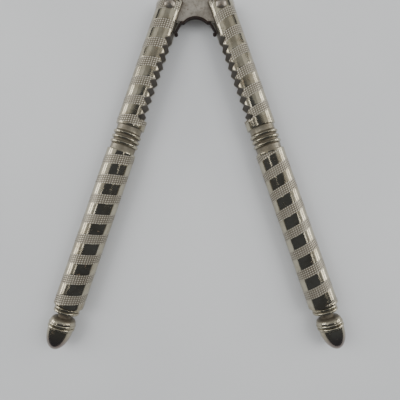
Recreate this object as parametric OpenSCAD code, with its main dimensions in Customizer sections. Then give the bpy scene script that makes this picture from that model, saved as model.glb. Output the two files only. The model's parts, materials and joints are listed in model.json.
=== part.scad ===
// Double-jointed nutcracker, lying flat and part open.
// +Z is up, the arms point towards -Y, and the origin is under the middle of the box, on the table.

/* [Arms] */
// Diameter of the round bar that each arm is turned from
bar_d = 10.2; // [9.4:0.1:10.6]
// Distance from an arm's pivot to the tip of its acorn finial
arm_reach = 125.8; // [122:0.1:132]
// Lean of each arm away from the centre line, as the tool lies
lean = 18.6; // [5:0.1:26]
// Distance from the pivot to the end of the jaw part of the bar
jaw_bar_end = 44.8; // [43.8:0.1:45.6]
// Distance from the pivot to where the plain handle starts
grip_start = 53.8; // [53.2:0.1:55]
// Distance from the pivot to where the plain handle ends
grip_end = 110.2; // [106:0.1:112]

/* [Jaws] */
// Distance from the bar's axis to the flat that the teeth are cut in
jaw_flat = 3.6; // [3.4:0.05:4.3]
// Distance from the pivot to the end of the flat
jaw_flat_end = 41.2; // [40.8:0.1:42]
// Distance from the pivot to the first notch
first_notch = 11.75; // [11:0.05:12]
// Distance from one notch to the next
notch_pitch = 3.21; // [3:0.01:3.24]
// Depth of a notch below the flat
notch_depth = 1.35; // [1:0.05:1.5]
// Number of notches in each jaw
notch_count = 10; // [8:1:10]
// Width of the blunt land on top of each tooth
tooth_land = 0.3; // [0.1:0.05:0.6]

/* [Fork and link plate] */
// Distance between the two pivots
pivot_gap = 17.9; // [17.6:0.1:18.4]
// Height of the slot in the forked end of each arm
slot_h = 1.8; // [1.7:0.05:2]
// Distance from the pivot to the bottom of the slot
slot_depth = 7.9; // [7.6:0.1:8.2]
// Thickness of the link plate
plate_t = 1.45; // [1.2:0.05:1.5]
// Distance from the pivots' line to the plate's top edge
plate_top = 5.2; // [4.8:0.1:6]
// Distance from the pivots' line to the feet of the plate
plate_foot = 4.3; // [4:0.05:4.5]
// Distance from the pivots' line to the top of the arch between the feet
arch_top = 2.45; // [2.2:0.05:2.6]
// Half the width of the arch between the feet
arch_half = 4.3; // [4.1:0.05:4.5]

/* [Rivets] */
// Diameter of a rivet's shank
rivet_d = 3; // [2.6:0.1:3.2]
// Diameter of a rivet's head
head_d = 3.9; // [3.6:0.1:4.1]
// Height of a rivet's domed head
head_h = 1; // [0.8:0.05:1.2]
// Diameter of the spot-face that a head sits on
spot_d = 4.4; // [4.3:0.1:4.8]
// Gap all round between a rivet's shank and the link plate
running_gap = 0.05; // [0.02:0.01:0.08]

/* [Spring] */
// Thickness of the spring strip
strip_t = 0.5; // [0.4:0.05:0.55]
// Width of the spring strip
strip_w = 1.5; // [1.2:0.05:1.5]
// Length of each spring leg below the feet
leg_len = 4.05; // [3.8:0.05:4.1]
// Slope of each spring leg
leg_slope = 61.5; // [61:0.5:66]

/* [Hidden] */
round_fn = 96;
fine_fn = 64;
over = 1;

bar_r = bar_d / 2;
nickel = [0.72, 0.70, 0.64];
steel = [0.60, 0.58, 0.53];
dark_steel = [0.16, 0.12, 0.10];

// The round end of the fork is centred a little beyond the pivot
fork_round_mid = 0.4;

// Turned ring band between the jaw and the handle
waist_r = bar_r - 0.7;
groove_r = bar_r - 0.9;
bead_r = bar_r - 0.12;
bead_w = 1.15;
bead_pitch = 1.76;
bead_mid = (jaw_bar_end + grip_start) / 2;
edge_break = 0.2;

// Double ring, neck, cushion, collar and acorn at the end of the handle
ring_r = bar_r - 0.7;
ring_w = 1.12;
bead_gap = 0.06;
ring_start = grip_end + 0.2;
neck_r = 2.3;
neck_start = grip_end + 2.6;
neck_end = neck_start + 1.8;
cushion_r = bar_r - 0.75;
cushion_end = neck_end + 1.5;
collar_r = bar_r - 0.5;
collar_w = 1.1;
acorn_start = cushion_end + 2 * collar_w + 2 * bead_gap;
acorn_r = bar_r - 0.85;
acorn_h = arm_reach - acorn_start;

// Heights: the rivets' heads touch the table
spot_sink = 0.08;
spot_z = sqrt(pow(bar_r, 2) - pow(spot_d / 2, 2)) - spot_sink;
axis_z = spot_z + head_h;
head_sphere_r = (pow(head_d / 2, 2) + pow(head_h, 2)) / (2 * head_h);

// The pivots' line, placed so that the box of the whole tool is centred on the origin
tip_low = acorn_start * cos(lean)
    + sqrt(pow(acorn_h * cos(lean), 2) + pow(acorn_r * sin(lean), 2));
pivot_x = pivot_gap / 2;
pivot_y = (tip_low - plate_top) / 2;

// Link plate
plate_half = pivot_x + bar_r;
plate_top_round = 4;
plate_foot_round = 0.8;
arch_rise = plate_foot - arch_top;
arch_r = (pow(arch_half, 2) + pow(arch_rise, 2)) / (2 * arch_rise);

// Spring: a strip that lines the arch, passes under the feet and runs down into the slots
strip_gap = 0.03;
strip_arch_r = arch_r - strip_gap - strip_t / 2;
arch_angle = asin(arch_half / arch_r);
foot_bend_r = 0.45;
foot_run = 0.5;
leg_bend_r = 0.5;
curl_r = 0.42;
curl_turn = 215;

// A semicircular bead on a turned profile, as points of [radius, distance from the pivot]
function bead(mid, r, w) = [for (a = [-90:15:90]) [r - w / 2 + w / 2 * cos(a), mid + w / 2 * sin(a)]];

// Half outline of a turned arm, from the round end of the fork to the tip of the acorn
arm_profile = concat(
    [for (a = [-90:15:0]) [bar_r * cos(a), bar_r * sin(a) - fork_round_mid]],
    [[bar_r, jaw_bar_end - edge_break], [bar_r - edge_break, jaw_bar_end]],
    [[waist_r, jaw_bar_end], [waist_r, bead_mid - bead_pitch - bead_w / 2 - 0.3]],
    [[groove_r, bead_mid - bead_pitch - bead_w / 2 - 0.1]],
    bead(bead_mid - bead_pitch, bead_r, bead_w),
    [[groove_r, bead_mid - bead_pitch + bead_w / 2 + 0.1], [groove_r, bead_mid - bead_w / 2 - 0.1]],
    bead(bead_mid, bead_r, bead_w),
    [[groove_r, bead_mid + bead_w / 2 + 0.1], [groove_r, bead_mid + bead_pitch - bead_w / 2 - 0.1]],
    bead(bead_mid + bead_pitch, bead_r, bead_w),
    [[groove_r, bead_mid + bead_pitch + bead_w / 2 + 0.1]],
    [[waist_r, bead_mid + bead_pitch + bead_w / 2 + 0.4], [waist_r, grip_start]],
    [[bar_r - edge_break, grip_start], [bar_r, grip_start + edge_break]],
    [[bar_r, grip_end - edge_break], [bar_r - edge_break, grip_end], [groove_r, grip_end + 0.15]],
    bead(ring_start + ring_w / 2, ring_r, ring_w),
    bead(ring_start + ring_w * 3 / 2 + bead_gap, ring_r, ring_w),
    [for (a = [0:22.5:90]) [ring_r - 0.7 - (ring_r - 0.7 - neck_r) * sin(a), neck_start + 0.4 - 0.4 * cos(a)]],
    [for (a = [0:15:90]) [neck_r + (cushion_r - neck_r) * sin(a), neck_end - 0.2 + 1.7 * (1 - cos(a))]],
    bead(cushion_end + collar_w / 2, collar_r, collar_w),
    bead(cushion_end + collar_w * 3 / 2 + bead_gap, collar_r, collar_w),
    [for (a = [0:6:90]) [acorn_r * cos(a), acorn_start + acorn_h * sin(a)]]
);

// Points along the spring's centre line: each move is [length, turn to the left]
function arc_move(r, turn) = [r * abs(turn) * PI / 180, turn];
function small_steps(moves) = [
    for (m = moves)
    let (n = max(1, ceil(abs(m[1]) / 9)))
    for (k = [1:n]) [m[0] / n, m[1] / n]
];
half_moves = small_steps([
    arc_move(strip_arch_r, -arch_angle),
    arc_move(foot_bend_r, arch_angle),
    [foot_run, 0],
    arc_move(leg_bend_r, -leg_slope),
    [leg_len, 0],
    arc_move(curl_r, -curl_turn)
]);
function walk(moves) = [
    for (i = 0, p = [0, 0], a = 0;
        i <= len(moves);
        m = moves[min(i, len(moves) - 1)],
        p = p + m[0] * [cos(a + m[1] / 2), sin(a + m[1] / 2)],
        a = a + m[1],
        i = i + 1)
    [p, a]
];
half_line = walk(half_moves);
function side(line, off) = [for (s = line) s[0] + off * [-sin(s[1]), cos(s[1])]];
function mirrored(points) = [for (i = [len(points) - 1:-1:1]) [-points[i][0], points[i][1]]];
function reversed(points) = [for (i = [len(points) - 1:-1:0]) points[i]];
strip_outer = side(half_line, strip_t / 2);
strip_inner = side(half_line, -strip_t / 2);

// One arm about its own pivot, pointing towards -Y, with its teeth facing +X
module arm() {
    difference() {
        rotate([90, 0, 0]) rotate_extrude($fn = round_fn) polygon(arm_profile);
        jaw_flat_cut();
        for (i = [0:notch_count - 1]) notch_cut(first_notch + i * notch_pitch);
        slot_cut();
        cylinder(h = bar_d + 2 * over, d = rivet_d, center = true, $fn = fine_fn);
        for (face = [0, 180]) rotate([face, 0, 0]) spot_face_cut();
    }
}

module jaw_flat_cut() {
    translate([jaw_flat, -jaw_flat_end, -bar_r - over])
        cube([bar_r, jaw_flat_end + bar_r + over, bar_d + 2 * over]);
}

module notch_cut(from_pivot) {
    mouth = (notch_pitch - tooth_land) / 2;
    slope = mouth / notch_depth;
    translate([jaw_flat, -from_pivot, 0])
        linear_extrude(height = bar_d + 2 * over, center = true)
            polygon([[-notch_depth, 0], [over, mouth + slope * over], [over, -mouth - slope * over]]);
}

module slot_cut() {
    translate([-bar_r - over, -slot_depth, -slot_h / 2])
        cube([bar_d + 2 * over, slot_depth + bar_r + over, slot_h]);
}

module spot_face_cut() {
    translate([0, 0, spot_z]) cylinder(h = bar_r, d = spot_d, $fn = fine_fn);
}

module at_left_pivot() {
    translate([-pivot_x, pivot_y, axis_z]) rotate([0, 0, -lean]) children();
}

// The right arm is the same piece, turned half over about its own axis
module at_right_pivot() {
    translate([pivot_x, pivot_y, axis_z]) rotate([0, 0, lean]) rotate([0, 180, 0]) children();
}

// Domed rivet about its own pivot
module rivet() {
    rotate_extrude($fn = fine_fn) polygon(concat(
        rivet_dome(-1),
        [[rivet_d / 2, -spot_z], [rivet_d / 2, spot_z]],
        reversed(rivet_dome(1))
    ));
}

function rivet_dome(up) = [
    for (i = [0:6])
    let (a = asin(head_d / 2 / head_sphere_r) * i / 6)
    [head_sphere_r * sin(a), up * (spot_z + head_h - head_sphere_r * (1 - cos(a)))]
];

module left_arm() {
    color(nickel) at_left_pivot() arm();
}

module right_arm() {
    color(nickel) at_right_pivot() arm();
}

module left_rivet() {
    color(steel) at_left_pivot() rivet();
}

module right_rivet() {
    color(steel) at_right_pivot() rivet();
}

module link_plate() {
    color(steel) translate([0, pivot_y, axis_z - plate_t / 2]) difference() {
        linear_extrude(height = plate_t) plate_outline();
        for (x = [-pivot_x, pivot_x])
            translate([x, 0, -over])
                cylinder(h = plate_t + 2 * over, d = rivet_d + 2 * running_gap, $fn = fine_fn);
    }
}

module plate_outline() {
    difference() {
        union() {
            translate([-plate_half, plate_foot_round - plate_foot])
                square([2 * plate_half, plate_foot + plate_top - plate_foot_round - plate_top_round]);
            translate([plate_foot_round - plate_half, -plate_foot])
                square([2 * (plate_half - plate_foot_round), plate_foot]);
            translate([plate_top_round - plate_half, 0])
                square([2 * (plate_half - plate_top_round), plate_top]);
            for (x = [-1, 1]) {
                translate([x * (plate_half - plate_top_round), plate_top - plate_top_round])
                    circle(r = plate_top_round, $fn = fine_fn);
                translate([x * (plate_half - plate_foot_round), plate_foot_round - plate_foot])
                    circle(r = plate_foot_round, $fn = fine_fn);
            }
        }
        translate([0, -arch_top - arch_r]) circle(r = arch_r, $fn = round_fn);
    }
}

module spring() {
    color(dark_steel)
        translate([0, pivot_y - arch_top - strip_gap - strip_t / 2, axis_z - strip_w / 2])
            linear_extrude(height = strip_w)
                polygon(concat(
                    mirrored(strip_outer), strip_outer,
                    reversed(strip_inner), reversed(mirrored(strip_inner))
                ));
}

left_arm();
right_arm();
link_plate();
left_rivet();
right_rivet();
spring();
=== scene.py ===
# %% [markdown]
# # A double-jointed nutcracker
# Two turned and knurled steel bars hang on a small link plate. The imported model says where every
# piece is and how it moves, so it is loaded first and nothing in it is moved. The new pieces are
# made round it: finer bars, plate, rivets and spring, each with its own finish.

# %% Load the frame
import bpy
import bmesh
import json
import math
from mathutils import Matrix, Vector

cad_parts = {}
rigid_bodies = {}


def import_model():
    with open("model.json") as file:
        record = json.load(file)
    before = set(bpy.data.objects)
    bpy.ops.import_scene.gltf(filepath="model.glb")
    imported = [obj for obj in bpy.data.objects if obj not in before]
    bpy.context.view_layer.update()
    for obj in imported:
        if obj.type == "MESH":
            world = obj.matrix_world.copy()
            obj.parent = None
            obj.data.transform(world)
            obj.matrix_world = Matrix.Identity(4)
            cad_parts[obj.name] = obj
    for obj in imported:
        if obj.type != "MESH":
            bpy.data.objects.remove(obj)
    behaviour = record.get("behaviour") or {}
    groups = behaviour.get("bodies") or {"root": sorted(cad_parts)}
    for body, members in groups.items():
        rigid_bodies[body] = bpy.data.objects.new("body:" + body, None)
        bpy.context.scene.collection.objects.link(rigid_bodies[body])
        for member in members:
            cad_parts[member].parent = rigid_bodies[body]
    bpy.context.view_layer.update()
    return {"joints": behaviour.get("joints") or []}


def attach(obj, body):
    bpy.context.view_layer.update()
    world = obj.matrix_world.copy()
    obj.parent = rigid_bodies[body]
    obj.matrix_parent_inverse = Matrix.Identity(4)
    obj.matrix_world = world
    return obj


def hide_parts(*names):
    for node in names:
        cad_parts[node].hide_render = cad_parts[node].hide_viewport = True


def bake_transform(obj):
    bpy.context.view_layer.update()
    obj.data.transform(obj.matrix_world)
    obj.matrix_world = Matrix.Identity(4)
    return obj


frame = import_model()

# %% [markdown]
# ## Sizes
# The bars are drawn in millimetres, about their own pivots, and are turned into place and into
# metres at the very end. Lengths along an arm are counted from its pivot towards the acorn.

# %% Sizes in millimetres
MM = 0.001
LEAN = math.radians(18.6)
BAR_R = 10.2 / 2
FORK_ROUND_MID = 0.4
JAW_BAR_END, GRIP_START, GRIP_END, REACH = 44.8, 53.8, 110.2, 125.8
JAW_FLAT, JAW_FLAT_END = 3.6, 41.2
FIRST_NOTCH, NOTCH_PITCH, NOTCH_DEPTH, NOTCH_COUNT, TOOTH_LAND = 11.75, 3.21, 1.35, 10, 0.3
SLOT_H, SLOT_DEPTH = 1.8, 7.9
PLATE_T, PLATE_TOP, PLATE_FOOT = 1.45, 5.2, 4.3
PLATE_TOP_ROUND, PLATE_FOOT_ROUND, PLATE_RIM, RUNNING_GAP = 4.0, 0.8, 0.14, 0.05
ARCH_TOP, ARCH_HALF = 2.45, 4.3
RIVET_D, HEAD_D, HEAD_H, SPOT_D, SPOT_SINK = 3.0, 3.9, 1.0, 4.4, 0.08
STRIP_T, STRIP_W, STRIP_GAP, LEG_LEN = 0.5, 1.5, 0.03, 4.05
FOOT_BEND_R, FOOT_RUN, LEG_BEND_R, CURL_R = 0.45, 0.5, 0.5, 0.42
LEG_SLOPE, CURL_TURN = math.radians(61.5), math.radians(215)

spot_z = math.sqrt(BAR_R ** 2 - (SPOT_D / 2) ** 2) - SPOT_SINK
pivots = {j["child"]: Vector(j["pos_m"]) for j in frame["joints"]}
pivot_x = abs(pivots["left_lever"].x) / MM
print("pivots in metres:", {body: tuple(round(c, 5) for c in p) for body, p in pivots.items()})

# %% [markdown]
# ## The camera
# A phone held flat above the table has a wide lens, so the ends of the bars are seen a little
# from the side. The camera is set straight over the middle, tipped by two and a half degrees.

# %% Camera
CAMERA_HEIGHT = 129.3
CAMERA_X, CAMERA_Y = 1.49, -16.5
LENS = 33.2
TIP, ROLL = math.radians(2.44), math.radians(-0.11)


def make_camera():
    data = bpy.data.cameras.new("camera")
    data.lens, data.sensor_width = LENS, 36.0
    data.clip_start, data.clip_end = 0.01, 20.0
    camera = bpy.data.objects.new("camera", data)
    bpy.context.scene.collection.objects.link(camera)
    axis_height = pivots["left_lever"].z
    camera.location = (CAMERA_X * MM, CAMERA_Y * MM, axis_height + CAMERA_HEIGHT * MM)
    camera.rotation_euler = (TIP, 0.0, ROLL)
    bpy.context.scene.camera = camera
    return camera


camera = make_camera()
print("camera at", tuple(round(c, 4) for c in camera.location))

# %% [markdown]
# ## Small helpers for meshes
# Each piece starts as a bmesh. When it is shaped it becomes an object in the scene, and a Boolean
# modifier can then cut other closed shapes out of it. The cutters are thrown away.

# %% Mesh helpers
def to_object(bm, name):
    bmesh.ops.recalc_face_normals(bm, faces=bm.faces[:])
    mesh = bpy.data.meshes.new(name)
    bm.to_mesh(mesh)
    bm.free()
    obj = bpy.data.objects.new(name, mesh)
    bpy.context.scene.collection.objects.link(obj)
    return obj


def drop(obj):
    mesh = obj.data
    bpy.data.objects.remove(obj)
    bpy.data.meshes.remove(mesh)


def apply_modifiers(obj):
    depsgraph = bpy.context.evaluated_depsgraph_get()
    mesh = bpy.data.meshes.new_from_object(obj.evaluated_get(depsgraph), depsgraph=depsgraph)
    obj.modifiers.clear()
    old, obj.data = obj.data, mesh
    bpy.data.meshes.remove(old)


def cut(obj, cutters):
    for cutter in cutters:
        modifier = obj.modifiers.new("cut", "BOOLEAN")
        modifier.operation, modifier.object, modifier.solver = "DIFFERENCE", cutter, "MANIFOLD"
    apply_modifiers(obj)
    for cutter in cutters:
        drop(cutter)


def block(low, high, name="cutter"):
    bm = bmesh.new()
    bmesh.ops.create_cube(bm, size=1.0)
    size = Vector(high) - Vector(low)
    bmesh.ops.scale(bm, vec=size, verts=bm.verts[:])
    bmesh.ops.translate(bm, vec=(Vector(low) + Vector(high)) / 2, verts=bm.verts[:])
    return to_object(bm, name)


def rod(radius, low, high, at=(0.0, 0.0), segments=64, name="cutter"):
    bm = bmesh.new()
    bmesh.ops.create_cone(bm, cap_ends=True, segments=segments, radius1=radius, radius2=radius,
                          depth=high - low)
    bmesh.ops.translate(bm, vec=(at[0], at[1], (low + high) / 2), verts=bm.verts[:])
    return to_object(bm, name)


def prism(outline, low, high, name="cutter"):
    bm = bmesh.new()
    face = bm.faces.new([bm.verts.new((x, y, low)) for x, y in outline])
    top = bmesh.ops.extrude_face_region(bm, geom=[face])["geom"]
    top_verts = [v for v in top if isinstance(v, bmesh.types.BMVert)]
    bmesh.ops.translate(bm, vec=(0, 0, high - low), verts=top_verts)
    return to_object(bm, name)


# %% [markdown]
# ## The turned profile
# On a lathe the whole arm is one bar with grooves, beads and an acorn cut into it. Half of its
# outline is a chain of points of radius and distance from the pivot. Beads and the acorn are arcs,
# and the knurled stretches get a point every fifth of a millimetre, so that there is mesh to press
# the knurl into.

# %% Outline of an arm
ROW = 0.21


def arc(mid_r, mid_s, radius, start, end, steps):
    turns = [math.radians(start + (end - start) * k / steps) for k in range(steps + 1)]
    return [(mid_r + radius * math.cos(t), mid_s + radius * math.sin(t)) for t in turns]


def bead(mid, outer_r, width, steps=10):
    return arc(outer_r - width / 2, mid, width / 2, -90, 90, steps)


def straight(start, end, radius=BAR_R):
    rows = max(1, round((end - start) / ROW))
    return [(radius, start + (end - start) * k / rows) for k in range(rows + 1)]


def arm_outline():
    waist_r, groove_r, bead_r, bead_w, bead_pitch = BAR_R - 0.7, BAR_R - 0.9, BAR_R - 0.12, 1.15, 1.76
    middle = (JAW_BAR_END + GRIP_START) / 2
    edge = 0.2
    points = arc(0, -FORK_ROUND_MID, BAR_R, -90, 0, 20)[:-1]
    points += straight(-FORK_ROUND_MID, JAW_BAR_END - edge)
    points += [(BAR_R - 0.06, JAW_BAR_END - 0.06), (BAR_R - edge, JAW_BAR_END)]
    points += [(waist_r + 0.12, JAW_BAR_END + 0.02), (waist_r, JAW_BAR_END + 0.15)]
    points += [(waist_r - 0.05, (JAW_BAR_END + middle - bead_pitch - bead_w / 2) / 2)]
    points += [(waist_r, middle - bead_pitch - bead_w / 2 - 0.35)]
    for turn in (-1, 0, 1):
        at = middle + turn * bead_pitch
        points += [(groove_r, at - bead_w / 2 - 0.12)] + bead(at, bead_r, bead_w)
        points += [(groove_r, at + bead_w / 2 + 0.12)]
    points += [(waist_r, middle + bead_pitch + bead_w / 2 + 0.4)]
    points += [(waist_r - 0.05, GRIP_START - 0.8), (waist_r, GRIP_START - 0.1)]
    points += [(waist_r + 0.12, GRIP_START), (BAR_R - edge, GRIP_START + 0.02)]
    points += [(BAR_R - 0.06, GRIP_START + 0.08)]
    points += straight(GRIP_START + edge, GRIP_END - edge)
    points += [(BAR_R - 0.06, GRIP_END - 0.06), (BAR_R - edge, GRIP_END)]
    return points + finial_outline(groove_r)


def finial_outline(groove_r):
    ring_r, ring_w, gap = BAR_R - 0.7, 1.12, 0.06
    neck_r, neck_start = 2.3, GRIP_END + 2.6
    neck_end = neck_start + 1.8
    cushion_r, cushion_end = BAR_R - 0.75, neck_end + 1.5
    collar_r, collar_w = BAR_R - 0.5, 1.1
    acorn_start = cushion_end + 2 * collar_w + 2 * gap
    acorn_r, acorn_h = BAR_R - 0.85, REACH - acorn_start
    points = [(groove_r, GRIP_END + 0.13)]
    points += bead(GRIP_END + 0.2 + ring_w / 2, ring_r, ring_w)
    points += bead(GRIP_END + 0.2 + ring_w * 3 / 2 + gap, ring_r, ring_w)
    cove = [math.radians(a) for a in range(0, 91, 15)]
    points += [(ring_r - 0.7 - (ring_r - 0.7 - neck_r) * math.sin(a), neck_start + 0.4 - 0.4 * math.cos(a))
               for a in cove]
    points += [(neck_r + (cushion_r - neck_r) * math.sin(a), neck_end - 0.2 + 1.7 * (1 - math.cos(a)))
               for a in [math.radians(a) for a in range(0, 91, 6)]]
    points += bead(cushion_end + collar_w / 2, collar_r, collar_w)
    points += bead(cushion_end + collar_w * 3 / 2 + gap, collar_r, collar_w)
    points += [(acorn_r * math.cos(a), acorn_start + acorn_h * math.sin(a))
               for a in [math.radians(3 * k) for k in range(30)]]
    return points + [(0.0, REACH)]


outline = arm_outline()
print("the outline of an arm has", len(outline), "points")

# %% [markdown]
# ## Turning and knurling the bar
# Spinning the outline about the bar's axis gives the turned bar. The knurl is a real dent in the
# mesh: a wheel with small teeth was rolled along the bar in a slow spiral, and left a band of five
# rows of dots with a plain band beside it. Inside the band each point's radius drops, by a product
# of two cosines, one across the rows and one round the bar, so that the dots stand up.

# %% Turned bar with its spiral bands
TURN_STEPS = 152
DOTS_ROUND = 40
ROW_PITCH = 0.7
BAND_W = 3.5
KNURL_DEPTH = 0.03
KNURLED = [
    {"from": -3.0, "to": JAW_BAR_END - 0.5, "start": 5.76, "pitch": 7.05},
    {"from": GRIP_START + 0.5, "to": GRIP_END - 0.5, "start": 55.5, "pitch": 7.15},
]


def spun(points, steps=TURN_STEPS):
    bm = bmesh.new()
    verts = [bm.verts.new((r, -s, 0.0)) for r, s in points]
    for a, b in zip(verts, verts[1:]):
        bm.edges.new((a, b))
    bmesh.ops.spin(bm, geom=bm.verts[:] + bm.edges[:], cent=(0, 0, 0), axis=(0, 1, 0),
                   angle=2 * math.pi, steps=steps, use_merge=True, use_duplicate=False)
    bmesh.ops.remove_doubles(bm, verts=bm.verts[:], dist=1e-4)
    return bm


def smooth_step(x, low, high):
    t = min(1.0, max(0.0, (x - low) / (high - low)))
    return t * t * (3 - 2 * t)


def band_share(along, angle, zone):
    """How far into the knurled band a point lies: 0 outside it and 1 inside."""
    shift = zone["pitch"] * (angle - math.pi / 2) / (2 * math.pi)
    across = (along - zone["start"] - shift) % zone["pitch"]
    edge = 0.22
    inside = smooth_step(across, 0.0, edge) * (1 - smooth_step(across, BAND_W - edge, BAND_W))
    ends = smooth_step(along, zone["from"], zone["from"] + 0.4)
    ends *= 1 - smooth_step(along, zone["to"] - 0.4, zone["to"])
    return inside * ends, across


def knurl(bm):
    for v in bm.verts:
        along, angle = -v.co.y, math.atan2(v.co.z, v.co.x)
        if math.hypot(v.co.x, v.co.z) < BAR_R - 0.01:
            continue
        for zone in KNURLED:
            if not zone["from"] < along < zone["to"]:
                continue
            share, across = band_share(along, angle, zone)
            rows = 0.5 - 0.5 * math.cos(2 * math.pi * across / ROW_PITCH)
            dots = rows * (0.5 + 0.5 * math.cos(DOTS_ROUND * angle))
            grow = 1 + share * KNURL_DEPTH * (dots - 1) / BAR_R
            v.co.x *= grow
            v.co.z *= grow


def jaw_comb():
    """Outline of what is cut away to leave the flat and its teeth."""
    mouth = (NOTCH_PITCH - TOOTH_LAND) / 2
    points = [(JAW_FLAT, BAR_R + 3)]
    for k in range(NOTCH_COUNT):
        middle = -(FIRST_NOTCH + k * NOTCH_PITCH)
        points += [(JAW_FLAT, middle + mouth), (JAW_FLAT - NOTCH_DEPTH, middle + 0.08)]
        points += [(JAW_FLAT - NOTCH_DEPTH, middle - 0.08), (JAW_FLAT, middle - mouth)]
    points += [(JAW_FLAT, -JAW_FLAT_END), (BAR_R + 2, -JAW_FLAT_END), (BAR_R + 2, BAR_R + 3)]
    return points


bar = spun(outline)
knurl(bar)
arm_piece = to_object(bar, "arm")
cut(arm_piece, [
    prism(jaw_comb(), -BAR_R - 1, BAR_R + 1),
    block((-BAR_R - 1, -SLOT_DEPTH, -SLOT_H / 2), (BAR_R + 1, BAR_R + 3, SLOT_H / 2)),
    rod(RIVET_D / 2, -BAR_R - 1, BAR_R + 1),
    rod(SPOT_D / 2, spot_z, BAR_R + 1),
    rod(SPOT_D / 2, -BAR_R - 1, -spot_z),
])
print("one arm has", len(arm_piece.data.polygons), "faces")

# %% [markdown]
# ## Placing the two arms
# Both arms are the same turned piece. The right one is turned half over about its own axis, so its
# teeth face the left one's. The shape is moved into place inside the mesh, and each point also
# keeps its own address on the bar in millimetres, which the finish is drawn from.

# %% Left and right arm
def place(obj, matrix):
    obj.data.transform(matrix)
    return obj


def keep_address(obj, name="bar_mm", shift=(0.0, 0.0, 0.0)):
    layer = obj.data.attributes.new(name, "FLOAT_VECTOR", "POINT")
    for v, item in zip(obj.data.vertices, layer.data):
        item.vector = v.co + Vector(shift)


def smooth_by_angle(obj, degrees=32):
    bm = bmesh.new()
    bm.from_mesh(obj.data)
    for f in bm.faces:
        f.smooth = True
    for e in bm.edges:
        e.smooth = not e.is_manifold or e.calc_face_angle(0.0) < math.radians(degrees)
    bm.to_mesh(obj.data)
    bm.free()


def lever_matrix(body, lean, roll=0.0):
    turn = Matrix.Rotation(lean, 4, "Z") @ Matrix.Rotation(roll, 4, "Y")
    return Matrix.Translation(pivots[body]) @ turn @ Matrix.Scale(MM, 4)


smooth_by_angle(arm_piece)
right_piece = bpy.data.objects.new("arm.right", arm_piece.data.copy())
bpy.context.scene.collection.objects.link(right_piece)
arm_piece.name = "arm.left"
keep_address(arm_piece)
keep_address(right_piece)
keep_address(arm_piece, "grain_mm")
keep_address(right_piece, "grain_mm", (60.0, 25.0, 0.0))
left_place = lever_matrix("left_lever", -LEAN)
right_place = lever_matrix("right_lever", LEAN, math.pi)
place(arm_piece, left_place)
place(right_piece, right_place)
for obj, body, node in ((arm_piece, "left_lever", "left_arm"), (right_piece, "right_lever", "right_arm")):
    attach(obj, body)
    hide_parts(node)
print("both arms placed, tips at y =", round(min(v.co.y for v in arm_piece.data.vertices), 4))

# %% [markdown]
# ## The link plate
# One stamping of flat steel holds both pivots. Its outline has two round shoulders and a shallow
# arch between two feet. The edges are rounded a little by bevelling, and then the two holes are
# cut, a hair wider than the rivets.

# %% Link plate
def corner(mid_x, mid_y, radius, start, end, steps):
    return [(mid_x + y, mid_y + x) for y, x in
            ((radius * math.cos(t), radius * math.sin(t)) for t in
             [math.radians(start + (end - start) * k / steps) for k in range(steps + 1)])]


def arch_radius():
    rise = PLATE_FOOT - ARCH_TOP
    return (ARCH_HALF ** 2 + rise ** 2) / (2 * rise)


def plate_outline():
    half, top_round, foot_round = pivot_x + BAR_R, PLATE_TOP_ROUND, PLATE_FOOT_ROUND
    arch_r = arch_radius()
    reach = math.degrees(math.asin(ARCH_HALF / arch_r))
    points = corner(half - top_round, PLATE_TOP - top_round, top_round, 0, 90, 24)
    points += corner(top_round - half, PLATE_TOP - top_round, top_round, 90, 180, 24)
    points += corner(foot_round - half, foot_round - PLATE_FOOT, foot_round, 180, 270, 8)
    points += corner(0, -ARCH_TOP - arch_r, arch_r, 90 + reach, 90 - reach, 24)
    return points + corner(half - foot_round, foot_round - PLATE_FOOT, foot_round, -90, 0, 8)


def round_rims(obj, size, segments=2):
    bm = bmesh.new()
    bm.from_mesh(obj.data)
    rims = [e for e in bm.edges if e.calc_face_angle(0.0) > math.radians(60)]
    bmesh.ops.bevel(bm, geom=rims, offset=size, offset_type="OFFSET", segments=segments,
                    profile=0.5, affect="EDGES", material=-1)
    bmesh.ops.recalc_face_normals(bm, faces=bm.faces[:])
    bm.to_mesh(obj.data)
    bm.free()


plate = prism(plate_outline(), -PLATE_T / 2, PLATE_T / 2, "plate")
round_rims(plate, PLATE_RIM)
bore_r = RIVET_D / 2 + RUNNING_GAP
cut(plate, [rod(bore_r, -PLATE_T, PLATE_T, at=(side * pivot_x, 0.0)) for side in (-1, 1)])
smooth_by_angle(plate, 40)
keep_address(plate)
middle = (pivots["left_lever"] + pivots["right_lever"]) / 2
place(plate, Matrix.Translation(middle) @ Matrix.Scale(MM, 4))
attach(plate, "link")
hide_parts("link_plate")
print("link plate:", len(plate.data.polygons), "faces")

# %% [markdown]
# ## The rivets
# Each rivet is a steel pin with both ends hammered over into low domes, and it turns with its
# arm. It is spun from half of its outline. The hammered dome is not quite true, so its points
# are pushed about by a few hundredths of a millimetre in slow waves.

# %% Rivets
def rivet_outline():
    dome_r = ((HEAD_D / 2) ** 2 + HEAD_H ** 2) / (2 * HEAD_H)
    reach = math.asin(HEAD_D / 2 / dome_r)
    top = spot_z + HEAD_H
    dome = [(dome_r * math.sin(reach * k / 12), top - dome_r * (1 - math.cos(reach * k / 12)))
            for k in range(13)]
    lower = [(r, -z) for r, z in dome]
    return lower + [(RIVET_D / 2, -spot_z), (RIVET_D / 2, spot_z)] + dome[::-1]


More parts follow.
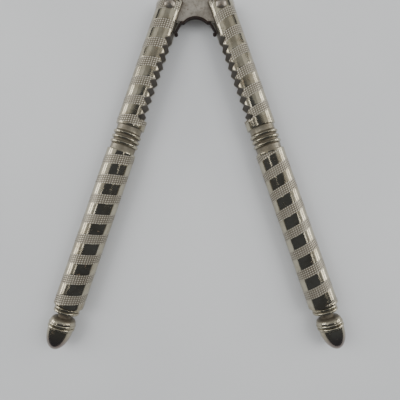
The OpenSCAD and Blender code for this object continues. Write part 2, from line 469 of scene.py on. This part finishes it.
def make_rivet(name, matrix, phase):
    bm = spun([(r, z) for r, z in rivet_outline()], 64)
    bmesh.ops.rotate(bm, verts=bm.verts[:], cent=(0, 0, 0), matrix=Matrix.Rotation(-math.pi / 2, 3, "X"))
    for v in bm.verts:
        if abs(v.co.z) > spot_z + 0.1:
            turn = math.atan2(v.co.y, v.co.x)
            share = math.hypot(v.co.x, v.co.y) / (HEAD_D / 2)
            v.co.z *= 1 - 0.008 * (1 + math.sin(3 * turn + phase) * share)
    obj = to_object(bm, name)
    smooth_by_angle(obj, 40)
    keep_address(obj)
    return place(obj, matrix)


for side, body, matrix in (("left", "left_lever", left_place), ("right", "right_lever", right_place)):
    rivet = make_rivet("rivet." + side, matrix, 0.6 if side == "left" else 2.4)
    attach(rivet, body)
    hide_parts(side + "_rivet")
    print(rivet.name, len(rivet.data.polygons), "faces")

# %% [markdown]
# ## The spring
# A narrow strip of spring steel lines the arch, passes under both feet and dips into the slots of
# the arms, where each end is rolled into a small curl. It is made as two mirrored halves, one for
# each side, and both are baked into place where they are made.

# %% Spring
def turtle(moves):
    at, heading = Vector((0.0, 0.0)), 0.0
    line = [(at.copy(), heading)]
    for length, turn in moves:
        steps = max(1, math.ceil(abs(turn) / math.radians(7.5)), math.ceil(length / 0.5))
        for _ in range(steps):
            mid = heading + turn / steps / 2
            at = at + length / steps * Vector((math.cos(mid), math.sin(mid)))
            heading += turn / steps
            line.append((at.copy(), heading))
    return line


def spring_line():
    arch_turn = math.asin(ARCH_HALF / arch_radius())
    strip_r = arch_radius() - STRIP_GAP - STRIP_T / 2
    moves = [(strip_r * arch_turn, -arch_turn)]
    moves += [(FOOT_BEND_R * arch_turn, arch_turn), (FOOT_RUN, 0.0)]
    moves += [(LEG_BEND_R * LEG_SLOPE, -LEG_SLOPE), (LEG_LEN, 0.0)]
    moves += [(CURL_R * CURL_TURN, -CURL_TURN)]
    return turtle(moves)


def beside(line, off):
    return [tuple(p + off * Vector((-math.sin(a), math.cos(a)))) for p, a in line]


def make_spring_half(name, side):
    line = spring_line()
    outer, inner = beside(line, STRIP_T / 2), beside(line, -STRIP_T / 2)
    ring = [(side * x, y) for x, y in inner + outer[::-1]]
    obj = prism(ring, -STRIP_W / 2, STRIP_W / 2, name)
    smooth_by_angle(obj, 40)
    keep_address(obj)
    lift = Vector((0.0, -ARCH_TOP - STRIP_GAP - STRIP_T / 2, 0.0)) * MM
    return place(obj, Matrix.Translation(middle + lift) @ Matrix.Scale(MM, 4))


spring_halves = []
for side, body in ((-1, "left_lever"), (1, "right_lever")):
    half = make_spring_half("spring.left" if side < 0 else "spring.right", side)
    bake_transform(half)
    spring_halves.append(half)
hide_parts("spring")
print("spring halves:", [len(h.data.polygons) for h in spring_halves])

# %% [markdown]
# ## A table and soft light
# The tool lies on a plain pale table. A polished bar shows whatever stands round it, so two low,
# soft panels at each side give the long bright double bands on the handles, and a dim far wall gives
# the jaws their middle tone. The light that falls on the table from above is kept out of the bars'
# reflections, so that the handles' tops mirror a dark room.

# %% Table, lamps and room
def make_table():
    bm = bmesh.new()
    bmesh.ops.create_grid(bm, x_segments=1, y_segments=1, size=1.5)
    obj = to_object(bm, "table")
    return obj


def panel(name, at, size, power, colour=(1.0, 1.0, 1.0), aim=(0.0, 0.0, 0.0)):
    data = bpy.data.lights.new(name, "AREA")
    data.shape, data.size, data.size_y = "RECTANGLE", size[0], size[1]
    data.energy, data.color = power, colour
    lamp = bpy.data.objects.new(name, data)
    bpy.context.scene.collection.objects.link(lamp)
    lamp.location = at
    lamp.rotation_euler = (Vector(aim) - Vector(at)).to_track_quat("-Z", "Y").to_euler()
    return lamp


table = make_table()
ROOM_LIGHT = 0.10
world = bpy.data.worlds.new("room")
bpy.context.scene.world = world
world.use_nodes = True
room = world.node_tree.nodes["Background"]
room.inputs["Color"].default_value = (0.80, 0.86, 1.0, 1.0)
room.inputs["Strength"].default_value = ROOM_LIGHT
WARM = (1.0, 0.975, 0.93)
for name, side in (("left", -1), ("right", 1)):
    panel(name + " low panel", (0.7 * side, 0.25, 0.08), (0.6, 0.13), 1.1, WARM, (0.0, 0.25, 0.0))
    panel(name + " high panel", (0.7 * side, 0.25, 0.32), (0.6, 0.16), 1.1, WARM, (0.0, 0.25, 0.0))
    panel(name + " strip", (0.55 * side, 0.0, 0.85), (0.24, 0.06), 0.18, WARM)
    panel(name + " wall", (0.55 * side, 0.3, 0.62), (0.8, 0.45), 0.38, WARM)
    fill = panel(name + " fill", (0.32 * side, 0.05, 0.42), (0.3, 0.3), 1.35)
    fill.visible_glossy = False
panel("far wall", (0.0, 0.66, 0.75), (2.6, 1.0), 2.7, (1.0, 0.99, 0.95))
top_light = panel("soft top light", (0.0, 0.0, 0.9), (1.2, 1.2), 4.6)
top_light.visible_glossy = False  # lights the table without a white patch on every bar

# %% [markdown]
# ## Writing a finish as arithmetic
# A finish is easier to read as a formula than as a web of boxes. The small class below wraps one
# shader socket, so that sums and products of sockets build the nodes behind them.

# %% Sockets that add and multiply
class Wire:
    """One shader socket that takes part in sums like a number."""

    def __init__(self, tree, socket):
        self.tree = tree
        self.socket = socket

    @staticmethod
    def node(tree, kind, settings=None, inputs=None, output=0):
        made = tree.nodes.new(kind)
        for key, value in (settings or {}).items():
            setattr(made, key, value)
        for key, value in (inputs or {}).items():
            if isinstance(value, Wire):
                tree.links.new(value.socket, made.inputs[key])
            else:
                made.inputs[key].default_value = value
        return Wire(tree, made.outputs[output])

    def math(self, operation, *others, swap=False, clamp=False):
        terms = [self] + list(others)
        if swap:
            terms.reverse()
        settings = {"operation": operation, "use_clamp": clamp}
        return Wire.node(self.tree, "ShaderNodeMath", settings, dict(enumerate(terms)))

    def __add__(self, other):
        return self.math("ADD", other)

    def __radd__(self, other):
        return self.math("ADD", other)

    def __sub__(self, other):
        return self.math("SUBTRACT", other)

    def __rsub__(self, other):
        return self.math("SUBTRACT", other, swap=True)

    def __mul__(self, other):
        return self.math("MULTIPLY", other)

    def __rmul__(self, other):
        return self.math("MULTIPLY", other)

    def __truediv__(self, other):
        return self.math("DIVIDE", other)

    def __rtruediv__(self, other):
        return self.math("DIVIDE", other, swap=True)

    def part(self, axis):
        return Wire.node(self.tree, "ShaderNodeSeparateXYZ", {}, {0: self}, axis)

    def between(self, low, high):
        """Goes smoothly from 0 at low to 1 at high."""
        settings = {"interpolation_type": "SMOOTHSTEP"}
        inputs = {"Value": self, "From Min": low, "From Max": high}
        return Wire.node(self.tree, "ShaderNodeMapRange", settings, inputs)

    def noise(self, scale, detail=4.0, roughness=0.55, stretch=None):
        where = self
        if stretch:
            where = Wire.node(self.tree, "ShaderNodeVectorMath", {"operation": "MULTIPLY"},
                              {0: self, 1: stretch})
        inputs = {"Vector": where, "Scale": scale, "Detail": detail, "Roughness": roughness}
        return Wire.node(self.tree, "ShaderNodeTexNoise", {}, inputs)

    def blend_colours(self, low, high):
        settings = {"data_type": "RGBA"}
        return Wire.node(self.tree, "ShaderNodeMix", settings, {0: self, 6: low, 7: high}, 2)


def colour(r, g, b):
    return (r, g, b, 1.0)


def new_finish(name):
    material = bpy.data.materials.new(name)
    material.use_nodes = True
    tree = material.node_tree
    shader = tree.nodes["Principled BSDF"]
    return material, tree, shader


def join(tree, wire, shader, socket):
    tree.links.new(wire.socket, shader.inputs[socket])


def address(tree, name="bar_mm"):
    return Wire.node(tree, "ShaderNodeAttribute", {"attribute_name": name}, {}, "Vector")


def dress(obj, material):
    obj.data.materials.clear()
    obj.data.materials.append(material)


print("the formula class is ready")

# %% [markdown]
# ## Old nickel plate
# The plating is warm and worn. It has cloudy tarnish, fine lengthwise wear and small brown specks
# of rust. Painted shade darkens it wherever the surface lies below the skin of the bar: in the turned
# grooves, on the jaw's flat and between its teeth, and in the hollows of the knurl. The tops of the
# knurl's dots carry a painted highlight, lighter and less like a mirror, as relief this shallow doesn't
# show from far away.

# %% Nickel
def knurl_wires(tree, s, angle):
    """The same bands as in the mesh, as a height from 0 in the dents to 1 on the plain skin."""
    share, dots = 0.0, 0.0
    for zone in KNURLED:
        pitch = zone["pitch"]
        shift = (angle - math.pi / 2) * (pitch / (2 * math.pi))
        across = (s - zone["start"] - shift).math("FLOORED_MODULO", pitch)
        inside = across.between(0.0, 0.2) * (1 - across.between(BAND_W - 0.2, BAND_W))
        inside = inside * s.between(zone["from"], zone["from"] + 0.4)
        inside = inside * (1 - s.between(zone["to"] - 0.4, zone["to"]))
        rows = 0.5 - 0.5 * (across * (2 * math.pi / ROW_PITCH)).math("COSINE")
        share = inside + share
        dots = inside * rows + dots
    return share, dots * (0.5 + 0.5 * (angle * DOTS_ROUND).math("COSINE"))


def make_nickel():
    material, tree, shader = new_finish("nickel plate")
    at, grain = address(tree), address(tree, "grain_mm")
    x, y, z = at.part(0), at.part(1), at.part(2)
    s = 0 - y
    radius = (x * x + z * z).math("SQRT")
    angle = z.math("ARCTAN2", x)
    share, dots = knurl_wires(tree, s, angle)
    on_skin = radius.between(BAR_R - 0.35, BAR_R - 0.12)
    share, dots = share * on_skin, dots * on_skin

    on_acorn = s.between(118.4, 118.6)
    skin = BAR_R - 0.5 * s.between(GRIP_END + 0.1, GRIP_END + 0.3)
    # Painted shade: darker wherever the surface lies well below the bar's skin, in the turned grooves,
    # coves and notches, but not on the acorn.
    recess_shade = (skin - radius).between(0.25, 1.0) * (1 - on_acorn)
    in_jaw = (1 - s.between(41.0, 41.4)) * s.between(9.0, 10.0)
    # Painted shade on the cut faces of the jaw: its toothed flat and notches.
    jaw_face_shade = x.between(1.0, 1.6) * (BAR_R - radius).between(0.05, 0.3) * in_jaw
    cloud = grain.noise(0.16, 5.0, 0.6)
    patch = grain.noise(0.7, 6.0, 0.62)
    fine = grain.noise(3.2, 5.0, 0.6)
    wear = grain.noise(1.0, 4.0, 0.6, stretch=(3.0, 0.12, 3.0))
    rust = (patch * 0.6 + fine * 0.4).between(0.585, 0.66) * cloud.between(0.44, 0.6)
    # Painted shade, gathered from the recesses, the jaw's cut faces and, two lines below, the knurl's
    # hollows.
    painted_shade = (recess_shade * (0.55 + 0.6 * patch) + jaw_face_shade * 0.48).math("MINIMUM", 1.0)
    # Painted highlight on the tops of the knurl's dots.
    knurl_highlight = dots.between(0.30, 0.70)
    # Painted shade in the hollows between the knurl's dots.
    knurl_hollow_shade = (share - dots).between(0.30, 0.80)
    painted_shade = (painted_shade + knurl_hollow_shade * (0.62 + 0.4 * patch)).math("MINIMUM", 1.0)

    tarnish = cloud.between(0.38, 0.68) * 0.6 + patch.between(0.45, 0.75) * 0.3
    base = tarnish.blend_colours(colour(0.51, 0.475, 0.37), colour(0.30, 0.26, 0.18))
    # Painted reflection: the acorn turns darker and purple towards its tip.
    base = (on_acorn * s.between(119.0, 123.5) * 0.6).blend_colours(base, colour(0.20, 0.15, 0.17))
    base = rust.blend_colours(base, colour(0.16, 0.075, 0.035))
    # The painted shade turns near black.
    base = painted_shade.blend_colours(base, colour(0.075, 0.060, 0.042))
    # The painted highlight turns the dot tops light grey.
    base = (knurl_highlight * 0.85).blend_colours(base, colour(0.62, 0.59, 0.50))
    join(tree, base, shader, "Base Color")
    # The painted shade and the painted highlight are also rougher and less metallic than the clean plate,
    # and so is rust.
    rough = 0.07 + 0.10 * wear + 0.10 * tarnish + 0.3 * rust + 0.3 * painted_shade + 0.12 * knurl_highlight
    join(tree, rough, shader, "Roughness")
    dull = (rust * 0.75 + painted_shade * 0.55 + knurl_highlight * 0.58).math("MINIMUM", 0.9)
    join(tree, 1 - dull, shader, "Metallic")
    height = (dots - share) * 0.015 + fine * 0.008 + wear * 0.006 + patch * 0.012 - rust * 0.006
    bump = Wire.node(tree, "ShaderNodeBump", {}, {"Height": height, "Distance": MM, "Strength": 0.9})
    join(tree, bump, shader, "Normal")
    return material


nickel = make_nickel()
dress(arm_piece, nickel)
dress(right_piece, nickel)
print("nickel plate:", len(nickel.node_tree.nodes), "nodes")

# %% [markdown]
# ## Plain steels
# The link plate and the rivets are bare steel that has dulled to a warm grey brown. The spring is
# nearly black, with dark red rust. One recipe makes all three from two colours and a rust colour.

# %% Plate, rivet and spring steel
def make_steel(name, clean, dull, rust_colour, rust_from, rough, metallic, scale=0.5):
    material, tree, shader = new_finish(name)
    at = address(tree)
    cloud = at.noise(scale * 0.5, 4.0, 0.6)
    patch = at.noise(scale * 2.0, 6.0, 0.62)
    fine = at.noise(scale * 9.0, 5.0, 0.6)
    dulled = cloud * 0.5 + patch * 0.5
    rust = (patch * 0.55 + fine * 0.45).between(rust_from, rust_from + 0.1)
    base = dulled.between(0.35, 0.68).blend_colours(clean, dull)
    base = rust.blend_colours(base, rust_colour)
    join(tree, base, shader, "Base Color")
    join(tree, rough + 0.2 * patch + 0.25 * rust, shader, "Roughness")
    join(tree, metallic - 0.6 * rust, shader, "Metallic")
    height = fine * 0.02 + patch * 0.03 - rust * 0.02
    bump = Wire.node(tree, "ShaderNodeBump", {}, {"Height": height, "Distance": MM, "Strength": 0.6})
    join(tree, bump, shader, "Normal")
    return material


plate_steel = make_steel("plate steel", colour(0.58, 0.54, 0.47), colour(0.38, 0.34, 0.28),
                         colour(0.13, 0.075, 0.04), 0.56, 0.34, 0.85)
rivet_steel = make_steel("rivet steel", colour(0.50, 0.46, 0.40), colour(0.27, 0.235, 0.185),
                         colour(0.12, 0.065, 0.035), 0.54, 0.24, 0.95, 0.8)
spring_steel = make_steel("spring steel", colour(0.055, 0.042, 0.036), colour(0.028, 0.022, 0.020),
                          colour(0.075, 0.034, 0.024), 0.52, 0.5, 0.75)
dress(plate, plate_steel)
for obj in bpy.data.objects:
    if obj.name.startswith("rivet."):
        dress(obj, rivet_steel)
for half in spring_halves:
    dress(half, spring_steel)
print("steels made")

# %% [markdown]
# ## The table top
# It is a pale, cool grey sheet, with a trace of mottling so that it isn't perfectly flat in tone.

# %% Table finish
def make_table_finish():
    material, tree, shader = new_finish("table")
    where = Wire.node(tree, "ShaderNodeTexCoord", {}, {}, "Object")
    tone = where.noise(9.0, 3.0, 0.5)
    base = tone.between(0.3, 0.7).blend_colours(colour(0.50, 0.51, 0.52), colour(0.54, 0.55, 0.555))
    join(tree, base, shader, "Base Color")
    shader.inputs["Roughness"].default_value = 0.6
    return material


dress(table, make_table_finish())
